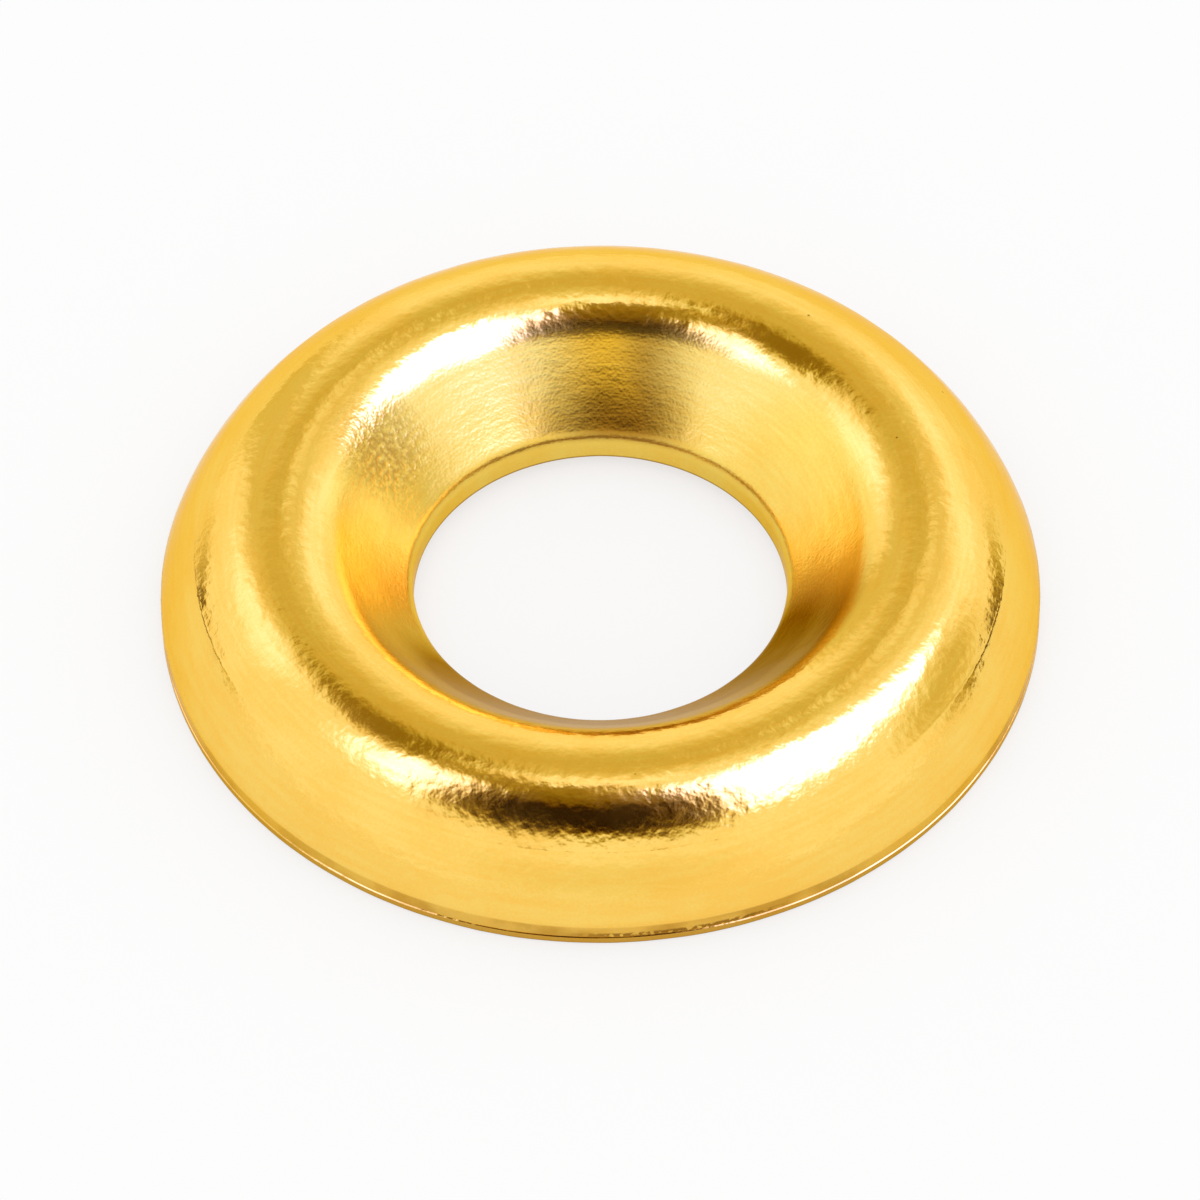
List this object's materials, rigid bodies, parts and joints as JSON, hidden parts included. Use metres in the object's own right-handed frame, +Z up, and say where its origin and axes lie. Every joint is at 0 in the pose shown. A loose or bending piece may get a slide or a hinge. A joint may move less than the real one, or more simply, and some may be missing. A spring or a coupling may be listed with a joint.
{
  "type": "finishing cup washer",
  "caption": "Round pressed brass cup washer with a rolled crown, a countersunk seat for a screw head and a rim that lies flat on the work.",
  "frame": {"origin": "centre of the washer in the plane its rim lies on", "axes": "+Z up the screw's axis, from the rim to the crown; the washer is round, so X and Y are any two directions across it"},
  "size_m": [0.014, 0.014, 0.0022],
  "materials": {
    "brass": "bright pressed brass with a fine orange-peel grain"
  },
  "bodies": {
    "root": {"cup_washer": "brass"}
  },
  "joints": []
}
